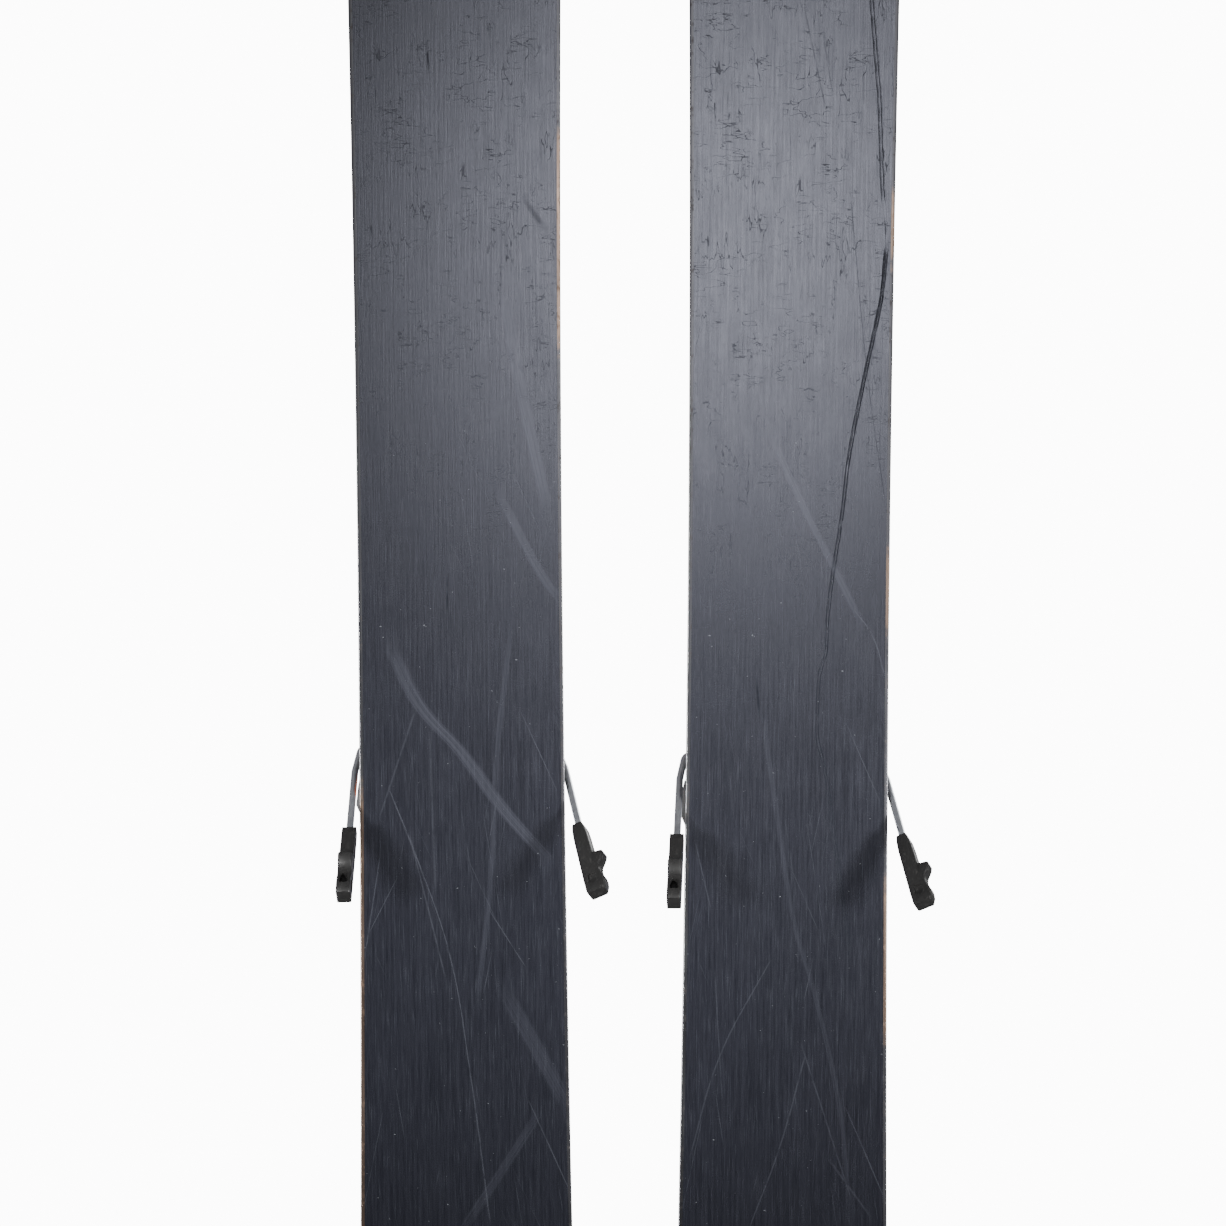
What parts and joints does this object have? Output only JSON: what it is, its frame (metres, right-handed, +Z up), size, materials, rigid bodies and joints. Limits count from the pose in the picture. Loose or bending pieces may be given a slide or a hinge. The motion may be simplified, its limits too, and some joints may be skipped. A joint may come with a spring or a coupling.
{
  "type": "pair of alpine skis with bindings",
  "caption": "Pair of wide alpine skis side by side, bases down, with step-in bindings, heels open and ski brakes lowered.",
  "frame": {"origin": "centre of the pair's bounding box in plan, at the lowest point of the lowered brake feet", "axes": "+Y towards the tips, +Z up out of the top sheets (bases face down), +X to the skier's right"},
  "size_m": [0.3404, 1.856, 0.1513],
  "materials": {
    "base": "dark slate-grey sintered polyethylene with fine lengthwise grinding marks, scratched",
    "edge_steel": "ground carbon steel",
    "core_wood": "laminated poplar",
    "sidewall": "ABS sidewall, satin",
    "topsheet": "printed nylon sheet, semi-gloss",
    "binding_plastic": "glass-filled nylon, fine texture",
    "grey_plastic": "moulded, satin",
    "heel_lever": "moulded, satin",
    "slider": "smooth low-friction acetal",
    "bare_steel": "drawn steel wire and zinc-plated screws"
  },
  "bodies": {
    "right_ski": {"right_ski_base": "base", "right_ski_edge_right": "edge_steel", "right_ski_edge_left": "edge_steel", "right_ski_core": "core_wood", "right_ski_tip_spacer": "sidewall", "right_ski_sidewall_right": "sidewall", "right_ski_sidewall_left": "sidewall", "right_ski_topsheet": "topsheet", "right_ski_toe_baseplate": "binding_plastic", "right_ski_toe_housing": "binding_plastic", "right_ski_toe_spring": "bare_steel", "right_ski_mount_screw_right": "bare_steel", "right_ski_mount_screw_left": "bare_steel", "right_ski_heel_track": "grey_plastic"},
    "right_toe_wing_right": {"right_ski_toe_wing_right": "binding_plastic"},
    "right_toe_wing_left": {"right_ski_toe_wing_left": "binding_plastic"},
    "right_afd_slider": {"right_ski_afd_slider": "slider"},
    "right_toe_release_screw": {"right_ski_toe_release_screw": "grey_plastic"},
    "right_heel_carriage": {"right_ski_heel_carriage": "binding_plastic", "right_ski_heel_pivot_pin": "bare_steel", "right_ski_brake_plate": "binding_plastic"},
    "right_forward_pressure_screw": {"right_ski_forward_pressure_screw": "bare_steel"},
    "right_heel_cup": {"right_ski_heel_cup": "binding_plastic", "right_ski_heel_spring": "bare_steel"},
    "right_heel_release_screw": {"right_ski_heel_release_screw": "grey_plastic"},
    "right_heel_lever": {"right_ski_heel_lever": "heel_lever"},
    "right_brake": {"right_ski_brake_wire": "bare_steel", "right_ski_brake_foot_right": "binding_plastic", "right_ski_brake_foot_left": "binding_plastic"},
    "right_brake_pedal": {"right_ski_brake_pedal": "binding_plastic"},
    "left_ski": {"left_ski_base": "base", "left_ski_edge_right": "edge_steel", "left_ski_edge_left": "edge_steel", "left_ski_core": "core_wood", "left_ski_tip_spacer": "sidewall", "left_ski_sidewall_right": "sidewall", "left_ski_sidewall_left": "sidewall", "left_ski_topsheet": "topsheet", "left_ski_toe_baseplate": "binding_plastic", "left_ski_toe_housing": "binding_plastic", "left_ski_toe_spring": "bare_steel", "left_ski_mount_screw_right": "bare_steel", "left_ski_mount_screw_left": "bare_steel", "left_ski_heel_track": "grey_plastic"},
    "left_toe_wing_right": {"left_ski_toe_wing_right": "binding_plastic"},
    "left_toe_wing_left": {"left_ski_toe_wing_left": "binding_plastic"},
    "left_afd_slider": {"left_ski_afd_slider": "slider"},
    "left_toe_release_screw": {"left_ski_toe_release_screw": "grey_plastic"},
    "left_heel_carriage": {"left_ski_heel_carriage": "binding_plastic", "left_ski_heel_pivot_pin": "bare_steel", "left_ski_brake_plate": "binding_plastic"},
    "left_forward_pressure_screw": {"left_ski_forward_pressure_screw": "bare_steel"},
    "left_heel_cup": {"left_ski_heel_cup": "binding_plastic", "left_ski_heel_spring": "bare_steel"},
    "left_heel_release_screw": {"left_ski_heel_release_screw": "grey_plastic"},
    "left_heel_lever": {"left_ski_heel_lever": "heel_lever"},
    "left_brake": {"left_ski_brake_wire": "bare_steel", "left_ski_brake_foot_right": "binding_plastic", "left_ski_brake_foot_left": "binding_plastic"},
    "left_brake_pedal": {"left_ski_brake_pedal": "binding_plastic"}
  },
  "joints": [
    {"name": "right_toe_wing_right_pivot", "type": "hinge", "parent": "right_ski", "child": "right_toe_wing_right", "pos_m": [0.11927, 0.10574, 0.08343], "axis": [0, 0, 1], "range_deg": [0, 22], "stiffness_Nm_per_rad": 2, "springref_deg": -8.59},
    {"name": "right_toe_wing_left_pivot", "type": "hinge", "parent": "right_ski", "child": "right_toe_wing_left", "pos_m": [0.06927, 0.10624, 0.08343], "axis": [0, 0, -1], "range_deg": [0, 22], "stiffness_Nm_per_rad": 2, "springref_deg": -8.59},
    {"name": "right_afd_slide", "type": "slide", "parent": "right_ski", "child": "right_afd_slider", "axis": [1, -0.0099, 0], "range_m": [-0.005, 0.005]},
    {"name": "right_toe_release_turn", "type": "hinge", "parent": "right_ski", "child": "right_toe_release_screw", "pos_m": [0.09482, 0.16099, 0.09043], "axis": [0.0099, 1, 0], "continuous": true},
    {"name": "right_heel_carriage_slide", "type": "slide", "parent": "right_ski", "child": "right_heel_carriage", "axis": [0.0099, 1, 0], "range_m": [-0.01, 0.01]},
    {"name": "right_forward_pressure_turn", "type": "hinge", "parent": "right_heel_carriage", "child": "right_forward_pressure_screw", "pos_m": [0.09024, -0.29899, 0.07163], "axis": [0.0099, 1, 0], "range_deg": [-1200, 1200]},
    {"name": "right_heel_cup_pivot", "type": "hinge", "parent": "right_heel_carriage", "child": "right_heel_cup", "pos_m": [0.09064, -0.25899, 0.09843], "axis": [-1, 0.0099, 0], "range_deg": [0, 40]},
    {"name": "right_heel_lever_pivot", "type": "hinge", "parent": "right_heel_cup", "child": "right_heel_lever", "pos_m": [0.09024, -0.29897, 0.10874], "axis": [-1, 0.0099, 0], "range_deg": [0, 15]},
    {"name": "right_heel_release_turn", "type": "hinge", "parent": "right_heel_cup", "child": "right_heel_release_screw", "pos_m": [0.09027, -0.29584, 0.09101], "axis": [0.0076, 0.766, 0.6428], "continuous": true},
    {"name": "right_brake_pivot", "type": "hinge", "parent": "right_heel_carriage", "child": "right_brake", "pos_m": [0.09133, -0.189, 0.07543], "axis": [-1, 0.0099, 0], "range_deg": [0, 59], "stiffness_Nm_per_rad": 1.6, "springref_deg": -114.59},
    {"name": "right_brake_pedal_pivot", "type": "hinge", "parent": "right_brake", "child": "right_brake_pedal", "pos_m": [0.09149, -0.173, 0.10314], "axis": [1, -0.0099, 0], "range_deg": [0, 25]},
    {"name": "left_toe_wing_right_pivot", "type": "hinge", "parent": "left_ski", "child": "left_toe_wing_right", "pos_m": [-0.06927, 0.10024, 0.08343], "axis": [0, 0, 1], "range_deg": [0, 22], "stiffness_Nm_per_rad": 2, "springref_deg": -8.59},
    {"name": "left_toe_wing_left_pivot", "type": "hinge", "parent": "left_ski", "child": "left_toe_wing_left", "pos_m": [-0.11927, 0.09974, 0.08343], "axis": [0, 0, -1], "range_deg": [0, 22], "stiffness_Nm_per_rad": 2, "springref_deg": -8.59},
    {"name": "left_afd_slide", "type": "slide", "parent": "left_ski", "child": "left_afd_slider", "axis": [1, 0.0099, 0], "range_m": [-0.005, 0.005]},
    {"name": "left_toe_release_turn", "type": "hinge", "parent": "left_ski", "child": "left_toe_release_screw", "pos_m": [-0.09482, 0.15499, 0.09043], "axis": [-0.0099, 1, 0], "continuous": true},
    {"name": "left_heel_carriage_slide", "type": "slide", "parent": "left_ski", "child": "left_heel_carriage", "axis": [-0.0099, 1, 0], "range_m": [-0.01, 0.01]},
    {"name": "left_forward_pressure_turn", "type": "hinge", "parent": "left_heel_carriage", "child": "left_forward_pressure_screw", "pos_m": [-0.09024, -0.30499, 0.07163], "axis": [-0.0099, 1, 0], "range_deg": [-1200, 1200]},
    {"name": "left_heel_cup_pivot", "type": "hinge", "parent": "left_heel_carriage", "child": "left_heel_cup", "pos_m": [-0.09064, -0.26499, 0.09843], "axis": [-1, -0.0099, 0], "range_deg": [0, 40]},
    {"name": "left_heel_lever_pivot", "type": "hinge", "parent": "left_heel_cup", "child": "left_heel_lever", "pos_m": [-0.09024, -0.30497, 0.10874], "axis": [-1, -0.0099, 0], "range_deg": [0, 15]},
    {"name": "left_heel_release_turn", "type": "hinge", "parent": "left_heel_cup", "child": "left_heel_release_screw", "pos_m": [-0.09027, -0.30184, 0.09101], "axis": [-0.0076, 0.766, 0.6428], "continuous": true},
    {"name": "left_brake_pivot", "type": "hinge", "parent": "left_heel_carriage", "child": "left_brake", "pos_m": [-0.09133, -0.195, 0.07543], "axis": [-1, -0.0099, 0], "range_deg": [0, 59], "stiffness_Nm_per_rad": 1.6, "springref_deg": -114.59},
    {"name": "left_brake_pedal_pivot", "type": "hinge", "parent": "left_brake", "child": "left_brake_pedal", "pos_m": [-0.09149, -0.179, 0.10314], "axis": [1, 0.0099, 0], "range_deg": [0, 25]},
    {"name": "pair_glide", "type": "slide", "parent": "right_ski", "child": "left_ski", "axis": [0, 1, 0], "range_m": [-0.3, 0.3]}
  ],
  "couplings": [
    {"joint": "right_forward_pressure_turn", "follows": "right_heel_carriage_slide", "rad_per_m": 2094.4},
    {"joint": "right_heel_lever_pivot", "follows": "right_heel_cup_pivot", "ratio": 0.375},
    {"joint": "right_brake_pedal_pivot", "follows": "right_brake_pivot", "ratio": 0.42},
    {"joint": "left_forward_pressure_turn", "follows": "left_heel_carriage_slide", "rad_per_m": 2094.4},
    {"joint": "left_heel_lever_pivot", "follows": "left_heel_cup_pivot", "ratio": 0.375},
    {"joint": "left_brake_pedal_pivot", "follows": "left_brake_pivot", "ratio": 0.42}
  ]
}
